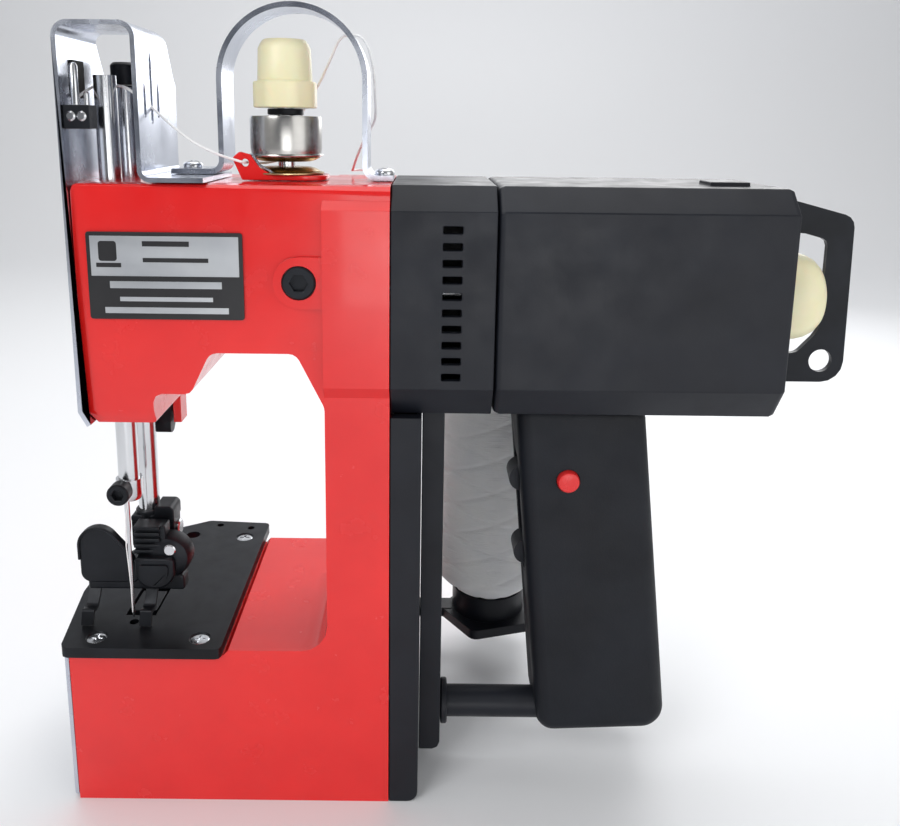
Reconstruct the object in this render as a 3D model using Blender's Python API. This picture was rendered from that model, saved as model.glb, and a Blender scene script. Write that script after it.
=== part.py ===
"""Bag closer sewing machine: a hand-held stitcher for sack mouths, as separate pieces.

Metres, +Z up. The helpers take millimetres and scale by MM. The origin is the centre of the
overall box, at the height of the base's underside. X runs along the machine from the needle
(-X) to the handwheel (+X), and -Y is the side with the name plate.
"""
import math

import bmesh
import bpy
from mathutils import Matrix, Vector

MM = 0.001
GAP = 0.3                      # clearance between neighbouring pieces
CUT = 2.0                      # how far a cutter runs past the face it opens
SMALL, TINY = 16, 12           # sides of a small round and of a hole too small to see into

# Casting
FRONT_Y, HEAD_BACK_Y = -60.5, -5.5
BASE_LEFT_X, BASE_BACK_Y, SEAT_Z, LEDGE_Z = -139.0, 26.5, 61.0, 63.0
COLUMN_LEFT_X, COLUMN_RIGHT_X, COLUMN_BACK_Y = -44.5, -22.2, 1.0
LEFT_COVER_X, COVER_TOP_Z = (-140.8, -139.3), 60.0
SIDE_SCREW = (-42.0, 33.0)     # y, z of the screw in the left cover
HEAD_LEFT_X, HEAD_TOP_Z, NOSE_Z = -126.5, 232.0, 149.0
NOSE_CHAMFER = 5.4             # height of the slanted band along the nose's lower edges
NAME_PLATE_X, NAME_PLATE_Z = (-122.2, -70.7), (186.7, 216.0)
BOSS = (-52.3, 199.7)          # x, z of the screw boss on the head's front

# Motor housing
HOUSING_Y = (-63.5, 6.5)
HOUSING_Z = (153.0, 232.0)
HOUSING_WALL = 3.0
SEAM_X, HOUSING_END_X = 13.3, 112.3
UNDER_HOUSING_Z = 152.7        # where the belt housing, its cover and the grip end
VENTS, VENT_PITCH, VENT_X, VENT_Z = 10, 5.53, (-4.7, 1.7), (167.0, 169.5)   # Z: lowest slot
HANG_HOLE, HANG_HOLE_R = (138.3, 166.4), 4.35                               # x, z

# Shafts, all parallel to X, as (y, z)
MOTOR_AXIS = (-28.5, 191.0)
UPPER_AXIS = (-41.4, 208.8)
LOWER_AXIS = (-41.4, 32.0)
MOTOR_PULLEY_R, DRIVEN_PULLEY_R, TIMING_PULLEY_R, BELT_T = 5.2, 13.0, 7.2, 1.4
UPPER_SHAFT_R, LOWER_SHAFT_R, MOTOR_SHAFT_R = 4.5, 4.0, 3.0
SHAFT_END_X = -13.2
STATOR_R, STATOR_X = 28.0, (20.0, 58.0)
BUSH_R, BUSHES_X = 8.0, (("upper_front_bush", -98, -90), ("upper_rear_bush", -48, -40))
DRIVE_BELT_X, TIMING_BELT_X = (-32.5, -26.5), (-19.5, -13.5)
CRANK_X, CRANK_R, CRANK_THROW = (-107.5, -102.5), 15.0, 12.0
CRANK_PIN = (UPPER_AXIS[0] + CRANK_THROW, UPPER_AXIS[1])
ROD_X = (-112.0, -108.5)

# Bars and needle, parallel to Z, as (x, y)
NEEDLE_BAR, NEEDLE_BAR_R = (-118.0, -46.5), 3.75
PRESSER_BAR, PRESSER_BAR_R = (-118.0, -26.5), 4.0
NEEDLE = (-119.5, -46.5)
BLOCK_Z = 179.0                # wrist pin of the connecting rod
CLAMP = (-119.1, 121.0)        # x, z of the needle's clamp screw
PIN_R = 2.5                    # wrist pin and crank pin
FOOT_PIVOT = (-26.5, 93.0)     # y, z of the presser foot's hinge
LOOPER_PIVOT = (-96.0, 24.0)   # x, z of the looper's hinge
LOOPER_PIN_R = 2.3
LIFTER_PIVOT, LIFTER_X, LIFTER_PIN_R = (-14.0, 140.0), (-116.0, -110.0), 2.0

# Throat plate
PLATE_Z = (61.3, 65.3)
PLATE_SCREWS = ((-130.0, -56.5), (-92.0, -56.5), (-92.0, 22.5))

# Things on top of the head
TOP_Y = -33.5
TENSION_X = -60.0
TONGUE_Y, EYELET = (-45.0, -43.5), (-72.4, 238.2)      # the eyelet as x, z
ARCH_LEGS_X, ARCH_TOP_Z, ARCH_T, ARCH_W = (-81.9, -30.7), 291.3, 1.8, 18.0
ARCH_SCREWS_X = (-93.2, -25.2)
GUARD_T, GUARD_Y, GUARD_TOP_Z = 1.5, (-62.5, -20.5), 282.5
GUARD_X = (-128.3, -102.1)
GUARD_FOOT_Z, ARCH_FEET_Z = 233.8, (235.9, 234.1)      # tops of the sheet metal on the head
SLOT_Y, SLOT_W = (-55.5, -48.5, -41.5), 2.0
SLOT_Z = ((253.0, 264.0), (251.0, 273.5), (253.0, 264.0))

# Grip and controls
GRIP_Y = (-45.5, -11.5)
GRIP_TOP_X = (23.0, 70.5)
GRIP_TOE, GRIP_HEEL = (35.7, 17.2), (86.3, 19.6)     # x, z of the two bottom corners
TRIGGER_Y = (-34.0, -23.0)
BUMPS = ((27.3, 119.7), (30.0, 89.3))
BUMP_R = 4.85
BUTTON, BUTTON_R = (43.0, 123.8), 4.15
BRACE_YZ, BRACE_R = (-35.5, 25.2), 6.0

# Spool and its holder
SPOOL_AXIS, SPOOL_Z, SPOOL_R = (21.5, 36.5), (36.3, 156.0), 27.0

THREAD_R = 0.45


# ---------------------------------------------------------------- helpers

def clear_scene():
    for item in list(bpy.data.objects):
        bpy.data.objects.remove(item)


def material(name, color, roughness, metallic=0.0):
    mat = bpy.data.materials.new(name)
    mat.use_nodes = True
    shader = mat.node_tree.nodes["Principled BSDF"]
    shader.inputs["Base Color"].default_value = (*color, 1.0)
    shader.inputs["Roughness"].default_value = roughness
    shader.inputs["Metallic"].default_value = metallic
    return mat


def finish_mesh(name, bm, mat):
    """Make an object of a closed bmesh, faces out, round stretches smooth."""
    bmesh.ops.recalc_face_normals(bm, faces=bm.faces)
    mesh = bpy.data.meshes.new(name)
    bm.to_mesh(mesh)
    bm.free()
    mesh.shade_smooth()
    mesh.set_sharp_from_angle(angle=math.radians(35))
    obj = bpy.data.objects.new(name, mesh)
    bpy.context.collection.objects.link(obj)
    if mat:
        mesh.materials.append(mat)
    else:
        obj.hide_render = True
        obj.display_type = "WIRE"
    return obj


def spot(axis, a, b, h):
    """A point from its two coordinates across an axis and its height along it."""
    order = {"x": (h, a, b), "y": (a, h, b), "z": (a, b, h)}
    return Vector(order[axis]) * MM


def rounded(*corners, closed=True):
    """A 2-D outline whose corners (a, b) or (a, b, radius) are turned into arcs."""
    count = len(corners)
    points = []
    for i, corner in enumerate(corners):
        here = Vector(corner[:2])
        radius = corner[2] if len(corner) > 2 else 0.0
        at_end = not closed and i in (0, count - 1)
        if radius == 0.0 or at_end:
            points.append(here)
            continue
        to_last = (Vector(corners[i - 1][:2]) - here).normalized()
        to_next = (Vector(corners[(i + 1) % count][:2]) - here).normalized()
        half = to_last.angle(to_next) / 2
        reach = radius / math.tan(half)
        centre = here + (to_last + to_next).normalized() * radius / math.sin(half)
        start = here + to_last * reach - centre
        sweep = (here + to_next * reach - centre).angle_signed(start)
        steps = max(2, round(abs(sweep) / math.radians(22.5 if radius > 3 else 45)))
        for k in range(steps + 1):
            turn = Matrix.Rotation(sweep * k / steps, 2)
            points.append(centre + turn @ start)
    return [tuple(p) for p in points]


def circle(a, b, radius, sides=24):
    turns = [2 * math.pi * k / sides for k in range(sides)]
    return [(a + radius * math.cos(t), b + radius * math.sin(t)) for t in turns]


def strip(path, thickness):
    """The outline of sheet metal that follows an open path, on the path's right side."""
    points = [Vector(p) for p in path]
    inner = []
    for i, here in enumerate(points):
        before = (here - points[i - 1]).normalized() if i else None
        after = (points[i + 1] - here).normalized() if i + 1 < len(points) else None
        along = ((before or after) + (after or before)).normalized()
        lean = along.dot(before or after)
        inner.append(here + Vector((along.y, -along.x)) * thickness / lean)
    return [tuple(p) for p in points + inner[::-1]]


def prism(name, outline, axis, lo, hi, mat=None, edge=0.0, segments=2):
    """An outline extruded along an axis; edge rounds the rims of both ends."""
    bm = bmesh.new()
    base = [bm.verts.new(spot(axis, a, b, lo)) for a, b in outline]
    cap = bm.faces.new(base)
    grown = bmesh.ops.extrude_face_region(bm, geom=[cap])
    moved = [v for v in grown["geom"] if isinstance(v, bmesh.types.BMVert)]
    bmesh.ops.translate(bm, verts=moved, vec=spot(axis, 0, 0, hi - lo))
    if edge:
        index = "xyz".index(axis)
        caps = [f for f in bm.faces if len({round(v.co[index], 6) for v in f.verts}) == 1]
        rims = list({e for f in caps for e in f.edges})
        bmesh.ops.bevel(bm, geom=rims, offset=edge * MM, segments=segments, profile=0.5,
                        affect="EDGES")
    return finish_mesh(name, bm, mat)


def band(name, outer, inner, axis, lo, hi, mat=None):
    """A tube between two outlines that have the same number of points."""
    bm = bmesh.new()
    rings = [[bm.verts.new(spot(axis, a, b, h)) for a, b in line]
             for line, h in ((outer, lo), (outer, hi), (inner, hi), (inner, lo))]
    count = len(outer)
    for i in range(4):
        first, second = rings[i], rings[(i + 1) % 4]
        for k in range(count):
            n = (k + 1) % count
            bm.faces.new((first[k], first[n], second[n], second[k]))
    return finish_mesh(name, bm, mat)


def turned(name, profile, axis, centre, mat=None, sides=24):
    """A turned piece from (radius, height) points: a solid if it starts and ends at
    radius 0, a ring if it doesn't."""
    bm = bmesh.new()
    a0, b0 = centre
    rings = []
    for radius, height in profile:
        line = circle(a0, b0, radius, sides) if radius else [(a0, b0)]
        rings.append([bm.verts.new(spot(axis, a, b, height)) for a, b in line])
    solid = profile[0][0] == 0 and profile[-1][0] == 0
    pairs = list(zip(rings, rings[1:]))
    if not solid:
        pairs.append((rings[-1], rings[0]))
    for first, second in pairs:
        for k in range(sides):
            n = (k + 1) % sides
            if len(first) == 1:
                bm.faces.new((first[0], second[n], second[k]))
            elif len(second) == 1:
                bm.faces.new((first[k], first[n], second[0]))
            else:
                bm.faces.new((first[k], first[n], second[n], second[k]))
    return finish_mesh(name, bm, mat)


def cylinder(name, axis, centre, radius, lo, hi, mat=None, sides=24):
    return turned(name, [(0, lo), (radius, lo), (radius, hi), (0, hi)], axis, centre, mat, sides)


def ring(name, axis, centre, bore, radius, lo, hi, mat=None, sides=24):
    profile = [(bore, lo), (radius, lo), (radius, hi), (bore, hi)]
    return turned(name, profile, axis, centre, mat, sides)


def boxes(name, spans, mat=None):
    """One or more boxes, each ((x0, x1), (y0, y1), (z0, z1)); only cutters have several."""
    bm = bmesh.new()
    for xs, ys, zs in spans:
        made = bmesh.ops.create_cube(bm, size=1.0)["verts"]
        for v in made:
            v.co = Vector([s[0] + (s[1] - s[0]) * (c + 0.5) for s, c in zip((xs, ys, zs), v.co)])
            v.co *= MM
    return finish_mesh(name, bm, mat)


def boolean(obj, tool, operation):
    mod = obj.modifiers.new(tool.name, "BOOLEAN")
    mod.operation = operation
    mod.solver = "EXACT"
    mod.object = tool


def cut(tool, *pieces):
    for piece in pieces:
        boolean(piece, tool, "DIFFERENCE")


def add(obj, *tools):
    for tool in tools:
        boolean(obj, tool, "UNION")


def origin_at(obj, x, y, z):
    """Move an object's origin onto its joint's axis, leaving its shape where it is."""
    place = Vector((x, y, z)) * MM
    obj.data.transform(Matrix.Translation(-place))
    obj.location = place
    return obj


def screw(name, axis, centre, head_lo, head_hi, head_r, shank_to, shank_r, mat, sides=SMALL):
    """A cap screw: head between two heights, shank from head_lo on to shank_to."""
    profile = [(0, head_hi), (head_r, head_hi), (head_r, head_lo), (shank_r, head_lo),
               (shank_r, shank_to), (0, shank_to)]
    return turned(name, profile, axis, centre, mat, sides)


def housing_outline(inset):
    """The motor housing's section: a tall box with a chamfered front, seen along X."""
    y0, y1 = HOUSING_Y[0] + inset, HOUSING_Y[1] - inset
    z0, z1 = HOUSING_Z[0] + inset, HOUSING_Z[1] - inset
    top, bottom = 8.0 - inset / 2, 11.0 - inset / 2
    return [(y0, z0 + bottom), (y0 + bottom * 0.7, z0), (y1 - 6, z0), (y1, z0 + 6),
            (y1, z1 - 6), (y1 - 6, z1), (y0 + top, z1), (y0, z1 - top)]


def belt_loop(first, r1, second, r2, steps=10):
    """A belt's closed line round two pulleys, as arcs joined by straight runs."""
    a, b = Vector(first), Vector(second)
    span = b - a
    heading = math.atan2(span.y, span.x)
    wrap = math.acos((r1 - r2) / span.length)
    line = []
    for centre, radius, start, stop in ((a, r1, wrap, 2 * math.pi - wrap), (b, r2, -wrap, wrap)):
        for k in range(steps + 1):
            t = heading + start + (stop - start) * k / steps
            line.append((centre.x + radius * math.cos(t), centre.y + radius * math.sin(t)))
    return line


# ---------------------------------------------------------------- casting and covers

def make_casting(m):
    base = rounded((BASE_LEFT_X, 0), (COLUMN_RIGHT_X, 0), (COLUMN_RIGHT_X, LEDGE_Z),
                   (-80.8, LEDGE_Z), (-82.6, SEAT_Z), (BASE_LEFT_X, SEAT_Z))
    casting = prism("body_casting", base, "y", FRONT_Y, BASE_BACK_Y, m["red"])
    frame = rounded((COLUMN_RIGHT_X, 40), (COLUMN_RIGHT_X, HEAD_TOP_Z), (HEAD_LEFT_X, HEAD_TOP_Z, 3),
                    (HEAD_LEFT_X, NOSE_Z + NOSE_CHAMFER + 0.4), (HEAD_LEFT_X + 3.1, NOSE_Z),
                    (-103.0, NOSE_Z, 1.5), (-103.0, 160.4, 3),
                    (-90.2, 160.4, 3), (-83.1, 175, 4), (-54.0, 175, 4), (COLUMN_LEFT_X, 156, 5),
                    (COLUMN_LEFT_X, LEDGE_Z, 10), (-60, LEDGE_Z), (-60, 40))
    head = prism("head_union", frame, "y", FRONT_Y, HEAD_BACK_Y)
    soften_top_edge(head)
    rear = boxes("column_union", [((COLUMN_LEFT_X, COLUMN_RIGHT_X), (-30, COLUMN_BACK_Y), (40, 160))])
    upper = prism("housing_union", housing_outline(0), "x", COLUMN_LEFT_X, COLUMN_RIGHT_X)
    boss = rounded((-61, 208.4, 8.5), (-61, 191, 8.5), (COLUMN_LEFT_X + 2, 191),
                   (COLUMN_LEFT_X + 2, 208.4))
    y, z = LIFTER_PIVOT
    lug = boxes("lifter_lug_union", [((-109.4, -106.4), (y - 4, y + 4), (z - 5, NOSE_Z + 1))])
    add(casting, head, rear, upper, prism("boss_union", boss, "y", FRONT_Y - 1.8, FRONT_Y + 5), lug,
        cylinder("lifter_pin_union", "x", LIFTER_PIVOT, LIFTER_PIN_R, LIFTER_X[0], -107,
                 sides=SMALL))
    cut_casting(casting)
    add(casting, cylinder("looper_pin_union", "y", LOOPER_PIVOT, LOOPER_PIN_R, -54, -40.5,
                          sides=SMALL))
    return casting


def soften_top_edge(head):
    """Chamfer the head's front top edge."""
    bm = bmesh.new()
    bm.from_mesh(head.data)
    edge = [e for e in bm.edges if all(abs(v.co.z - HEAD_TOP_Z * MM) < 1e-5
                                       and abs(v.co.y - FRONT_Y * MM) < 1e-5 for v in e.verts)]
    bmesh.ops.bevel(bm, geom=edge, offset=4.0 * MM, segments=3, profile=0.5, affect="EDGES")
    bm.to_mesh(head.data)
    bm.free()


def cut_casting(casting):
    """The nose's slanted edge, the rooms for the works, and the bores of the shafts and bars."""
    back = HEAD_BACK_Y + CUT
    wedge = [(FRONT_Y - 3, NOSE_Z - CUT), (FRONT_Y - 3, NOSE_Z + NOSE_CHAMFER * 2),
             (FRONT_Y, NOSE_Z + NOSE_CHAMFER), (FRONT_Y + 3, NOSE_Z), (FRONT_Y + 4, NOSE_Z - CUT)]
    cut(prism("nose_wedge", wedge, "x", HEAD_LEFT_X - CUT, -101.0), casting)
    cut(boxes("head_room_left", [((-124.3, -98), (-57.5, back), (165, 227))]), casting)
    cut(boxes("nose_room", [((-124.3, -106.5), (-57.5, back), (157, 170))]), casting)
    cut(boxes("head_room_right", [((-90, -48), (-57, back), (180, 227))]), casting)
    cut(boxes("column_room", [((-40, COLUMN_RIGHT_X + CUT), (-58, 0), (174, 226))]), casting)
    cut(boxes("base_room", [((-133, -42), (-52, 20), (-CUT, 53))]), casting)
    cut(boxes("stitch_well", [((-130, -100), (-50, 10), (50, SEAT_Z + CUT))]), casting)
    cut(cylinder("upper_bore", "x", UPPER_AXIS, 8.3, -99, -39), casting)
    cut(cylinder("lower_bore", "x", LOWER_AXIS, 4.3, -43, COLUMN_RIGHT_X + CUT), casting)
    cut(cylinder("needle_bore", "z", NEEDLE_BAR, 6.3, NOSE_Z - CUT, 158), casting)
    cut(cylinder("presser_bore", "z", PRESSER_BAR, 4.4, NOSE_Z - CUT, 158), casting)
    cut(cylinder("needle_exit", "z", NEEDLE_BAR, 4.2, 226, HEAD_TOP_Z + CUT), casting)
    cut(cylinder("presser_exit", "z", PRESSER_BAR, 4.4, 226, HEAD_TOP_Z + CUT), casting)


def make_covers(m, casting):
    outline = rounded((-125.5, 155, 2), (-104.5, 155, 2), (-98, 164, 3), (-86, 177.5, 3),
                      (-47, 177.5, 2), (-47, 229, 2), (-125.5, 229, 2))
    prism("head_rear_cover", outline, "y", HEAD_BACK_Y + GAP, HEAD_BACK_Y + 2, m["red"])
    boxes("base_bottom_cover", [((-132.5, -42.5), (-51.5, 19.5), (0.5, 2.5))], m["steel"])
    front, rear = FRONT_Y + GAP, BASE_BACK_Y - 1
    outline = rounded((front, 0.5, 2), (rear, 0.5, 2), (rear, COVER_TOP_Z), (front, COVER_TOP_Z))
    side = prism("base_left_cover", outline, "x", *LEFT_COVER_X, m["steel"])
    tool = cylinder("side_screw_bore", "x", SIDE_SCREW, 2.3, -143, -131, sides=SMALL)
    cut(tool, side, casting)
    screw("side_cover_screw", "x", SIDE_SCREW, -141.1, -143.4, 4.2, -134, 2.0, m["steel"])
    boxes("name_plate", [(NAME_PLATE_X, (FRONT_Y - 0.9, FRONT_Y - GAP), NAME_PLATE_Z)], m["plate"])
    cut(cylinder("boss_seat", "y", BOSS, 5.8, -65, -59.2), casting)
    cut(cylinder("boss_bore", "y", BOSS, 3.3, -60, -49, sides=SMALL), casting)
    screw("boss_screw", "y", BOSS, -59.5, -63.0, 5.5, -51, 3.0, m["black_steel"])


# ---------------------------------------------------------------- stitching area

def make_plate(m, casting):
    outline = rounded((-140.8, -63.5, 3), (-147, -25.5, 4), (-147, -3.5, 4), (-123.1, 31.5, 4),
                      (-111.5, 38.5, 3), (-83, 36.5, 2), (-83, -63.5, 2))
    plate = prism("throat_plate", outline, "z", *PLATE_Z, m["black_steel"])
    top, low = PLATE_Z[1], PLATE_Z[0]
    through = (low - 1.3, top + 1.7)
    cut(boxes("feed_slot", [((-124.3, -112.7), (-42, -20), through)]), plate)
    cut(cylinder("needle_hole", "z", NEEDLE, 1.8, *through, sides=TINY), plate)
    for i, (x, y, r) in enumerate(((-105.8, 34, 1.6), (-90.9, 31.5, 1.6), (-116, 23.9, 3.2))):
        cut(cylinder(f"plate_hole_{i}", "z", (x, y), r, *through, sides=TINY), plate)
    for i, spot_xy in enumerate(PLATE_SCREWS, 1):
        head = [(0, top - 0.1), (3.6, top - 0.1), (2.0, top - 2.2), (2.0, 54), (0, 54)]
        seat = [(0, top + 1), (3.9, top + 1), (3.9, top - 0.1), (2.3, top - 2.2), (2.3, 52), (0, 52)]
        cut(turned(f"plate_seat_{i}", seat, "z", spot_xy, sides=SMALL), plate, casting)
        turned(f"plate_screw_{i}", head, "z", spot_xy, m["steel"], sides=SMALL)


def make_needle_bar(m):
    x, y = NEEDLE_BAR
    ring("needle_bar_bush", "z", NEEDLE_BAR, 4.05, 6.0, 148.5, 156.7, m["brass"])
    bar = cylinder("needle_bar", "z", NEEDLE_BAR, NEEDLE_BAR_R, 122.7, 266.5, m["steel"])
    tip = turned("needle_clamp_union", [(0, 116), (4.0, 116), (4.8, 118), (4.8, 124), (0, 124)],
                 "z", NEEDLE_BAR, sides=24)
    add(bar, tip)
    cut(cylinder("clamp_bore", "y", CLAMP, 2.1, -53, -46, sides=TINY), bar)
    cut(cylinder("needle_socket", "z", NEEDLE, 1.3, 114, 121.5, sides=TINY), bar)
    block = boxes("needle_bar_block", [((-122.3, -112.4), (-52, -41), (174, 184))], m["black_steel"])
    cut(cylinder("block_bore", "z", NEEDLE_BAR, NEEDLE_BAR_R + GAP, 172, 186), block)
    add(block, cylinder("wrist_pin", "x", (y, BLOCK_Z), PIN_R, -113.5, -108.4, sides=SMALL))
    needle = [(0, 121), (1.0, 121), (1.0, 104), (0.7, 102), (0.7, 70), (0, 66)]
    turned("needle", needle, "z", NEEDLE, m["steel"], sides=10)
    screw("needle_clamp_screw", "y", CLAMP, -51.8, -56.5, 4.0, -49.2, 1.8, m["black_steel"])
    for name in ("needle_bar", "needle_bar_block", "needle", "needle_clamp_screw"):
        origin_at(bpy.data.objects[name], x, y, BLOCK_Z)


def make_rod(m):
    """The rod between the crank pin, whose end stays clear of it, and the wrist pin."""
    y, z = NEEDLE_BAR[1], BLOCK_Z
    eye_r = 4.8
    line = belt_loop((y, z), eye_r, CRANK_PIN, eye_r, steps=8)
    rod = prism("connecting_rod", line, "x", *ROD_X, m["steel"])
    cut(cylinder("wrist_bore", "x", (y, z), PIN_R + GAP, -114, -107, sides=SMALL), rod)
    cut(cylinder("crank_bore", "x", CRANK_PIN, PIN_R + GAP, -114, -107, sides=SMALL), rod)
    origin_at(rod, ROD_X[0], y, z)


def make_presser(m):
    x, y = PRESSER_BAR
    bar = cylinder("presser_bar", "z", PRESSER_BAR, PRESSER_BAR_R, 100, 264, m["steel"])
    fork = boxes("fork_union", [((-124.3, -111.7), (-31.5, -21.5), (98.6, 112))])
    ears = [boxes("ear_left_union", [((-124.3, -121.5), (-31, -22), (88, 101))]),
            boxes("ear_right_union", [((-114.5, -111.7), (-31, -22), (88, 101))])]
    collar = cylinder("collar_union", "z", PRESSER_BAR, 5.5, 168, 173)
    add(bar, fork, collar, *ears)
    cap = turned("presser_cap", [(0, 264.3), (5, 264.3), (5, 271), (4, 272), (0, 272)], "z",
                 PRESSER_BAR, m["black_steel"])
    for piece in (bar, cap):
        origin_at(piece, x, y, 98.6)
    make_spring("presser_spring", PRESSER_BAR, 5.0, 0.5, 173.4, 226.6, 8, m["steel"])
    y, z = LIFTER_PIVOT
    lever = rounded((y - 6.6, z - 9, 2), (y - 6.6, z - 4, 2), (y - 3.6, z + 5.6, 3),
                    (y + 3.6, z + 5.6, 3), (y + 3.6, z - 3, 3), (y - 2, z - 9, 2))
    lifter = prism("presser_lifter", lever, "x", LIFTER_X[0], LIFTER_X[1], m["black_steel"])
    cut(cylinder("lifter_bore", "x", LIFTER_PIVOT, LIFTER_PIN_R + GAP, -118, -108, sides=SMALL), lifter)
    origin_at(lifter, sum(LIFTER_X) / 2, y, z)


def make_spring(name, centre, radius, wire, lo, hi, turns, mat):
    """A compression spring: a helical wire with capped ends."""
    curve = bpy.data.curves.new(name, "CURVE")
    curve.dimensions = "3D"
    curve.bevel_depth = wire * MM
    curve.bevel_resolution = 1
    curve.use_fill_caps = True
    per_turn = 10
    count = turns * per_turn + 1
    line = curve.splines.new("POLY")
    line.points.add(count - 1)
    for k in range(count):
        t = 2 * math.pi * k / per_turn
        z = lo + wire + (hi - lo - 2 * wire) * k / (count - 1)
        place = spot("z", centre[0] + radius * math.cos(t), centre[1] + radius * math.sin(t), z)
        line.points[k].co = (*place, 1.0)
    curve.materials.append(mat)
    obj = bpy.data.objects.new(name, curve)
    bpy.context.collection.objects.link(obj)
    return obj


def make_foot(m):
    """The two-toed presser foot with its left flap and finger lobe."""
    y, z = FOOT_PIVOT
    flap = rounded((-140.5, 77, 3), (-140.5, 98, 7), (-131, 102.6, 7), (-119.8, 88, 3),
                   (-118.5, 77, 2))
    foot = prism("presser_foot", flap, "y", -41.3, -38.5, m["black_steel"])
    web = boxes("web_union", [((-138.8, -99.5), (-41.2, -36), (75, 82))])
    centre = boxes("centre_union", [((-115.8, -106), (-41.2, -32.2), (80, 97))])
    lobe = prism("lobe_union", rounded((-106, 72, 2), (-98.5, 74, 2), (-98.5, 88, 3), (-106, 91, 3)),
                 "y", -44, -38)
    toe_path = rounded((-48.5, 68.5), (-46.5, 67.2, 2), (-33, 67.2, 3), (-38, 78.5), closed=False)
    toe_line = strip(toe_path, 1.6)
    toes = [prism("toe_left_union", toe_line, "x", -138.8, -134.3),
            prism("toe_right_union", toe_line, "x", -116.7, -112.3)]
    lug = rounded((y - 10, z - 9, 1), (y + 2, z - 4.6, 2), (y + 4.6, z, 3), (y, z + 4.8, 3),
                  (y - 4.6, z + 3, 2), (y - 10, z - 1, 1))
    arm = prism("lug_union", lug, "x", -121.0, -115.0)
    add(foot, web, centre, lobe, *toes, arm)
    origin_at(foot, -118.0, y, z)


def make_feed(m):
    dog = boxes("feed_dog", [((-123.3, -113.7), (-38, -24), (46, 65.0))], m["steel"])
    add(dog, boxes("feed_bar_union", [((-123.3, -113.7), (-38, 4), (42, 48))]))
    origin_at(dog, -118.5, -31, 55)
    px, pz = LOOPER_PIVOT
    arm = rounded((px + 5, pz - 5, 4), (px + 5, pz + 5, 4), (-106, 44, 3), (-115.5, 57.5, 1.2),
                  (-112, 43, 3), (-106, pz + 8, 4), (px - 5, pz - 5, 4))
    looper = prism("looper", arm, "y", -44.3, -41.8, m["steel"])
    cut(cylinder("looper_bore", "y", LOOPER_PIVOT, LOOPER_PIN_R + GAP, -46, -40, sides=SMALL), looper)
    origin_at(looper, px, -43, pz)


# ---------------------------------------------------------------- drive

def make_drive(m):
    r = UPPER_SHAFT_R
    crank = turned("upper_shaft", [(0, CRANK_X[0]), (CRANK_R, CRANK_X[0]), (CRANK_R, CRANK_X[1]),
                                   (r, CRANK_X[1]), (r, SHAFT_END_X), (0, SHAFT_END_X)], "x",
                   UPPER_AXIS, m["steel"])
    add(crank, cylinder("crank_pin", "x", CRANK_PIN, PIN_R, CRANK_X[0] - 0.7, -105, sides=SMALL))
    d0, d1 = DRIVE_BELT_X
    t0, t1 = TIMING_BELT_X
    bore, hub = r + GAP, 6.2
    upper = [(bore, d0), (DRIVEN_PULLEY_R, d0), (DRIVEN_PULLEY_R, d1), (hub, d1), (hub, t0),
             (TIMING_PULLEY_R, t0), (TIMING_PULLEY_R, t1), (bore, t1)]
    pulley = turned("upper_pulley", upper, "x", UPPER_AXIS, m["aluminium"])
    for piece in (crank, pulley):
        origin_at(piece, -60, *UPPER_AXIS)
    lower = cylinder("lower_shaft", "x", LOWER_AXIS, LOWER_SHAFT_R, -90, SHAFT_END_X, m["steel"])
    add(lower, cylinder("eccentric_union", "x", (LOWER_AXIS[0] + 2, LOWER_AXIS[1]), 8, -86, -78))
    add(lower, cylinder("lower_pulley_union", "x", LOWER_AXIS, TIMING_PULLEY_R, t0, t1))
    origin_at(lower, -50, *LOWER_AXIS)
    for name, lo, hi in BUSHES_X:
        ring(name, "x", UPPER_AXIS, bore, BUSH_R, lo, hi, m["brass"])
    make_belt("drive_belt", MOTOR_AXIS, MOTOR_PULLEY_R, UPPER_AXIS, DRIVEN_PULLEY_R, DRIVE_BELT_X, m)
    make_belt("timing_belt", LOWER_AXIS, TIMING_PULLEY_R, UPPER_AXIS, TIMING_PULLEY_R,
              TIMING_BELT_X, m)


def make_belt(name, first, r1, second, r2, span, m):
    inner = belt_loop(first, r1 + GAP, second, r2 + GAP)
    outer = belt_loop(first, r1 + GAP + BELT_T, second, r2 + GAP + BELT_T)
    band(name, outer, inner, "x", *span, m["rubber"])


def make_motor(m):
    d0, d1 = DRIVE_BELT_X
    s0, s1 = STATOR_X
    r, core, shaft_end = MOTOR_SHAFT_R, 16.0, 129.0
    rotor = [(0, d0), (MOTOR_PULLEY_R, d0), (MOTOR_PULLEY_R, d1), (r, d1), (r, s0), (core, s0),
             (core, s1), (r, s1), (r, shaft_end), (0, shaft_end)]
    shaft = turned("motor_rotor", rotor, "x", MOTOR_AXIS, m["steel"])
    bore = r + GAP
    ring("motor_stator", "x", MOTOR_AXIS, core + 0.8, STATOR_R, s0, s1, m["copper"], sides=28)
    for name, lo, hi in (("front_bearing_carrier", 4, 12), ("rear_bearing_carrier", 66, 74)):
        ring(name, "x", MOTOR_AXIS, bore, STATOR_R, lo, hi, m["aluminium"], sides=28)
    dome = [(bore, 113.5), (15, 113.5), (16.4, 115), (16.4, 124), (15.3, 129), (12, 133),
            (7, 135), (bore, 135)]
    wheel = turned("handwheel", dome, "x", MOTOR_AXIS, m["cream"], sides=32)
    for piece in (shaft, wheel):
        origin_at(piece, 40, *MOTOR_AXIS)


# ---------------------------------------------------------------- housings and grip

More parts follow.
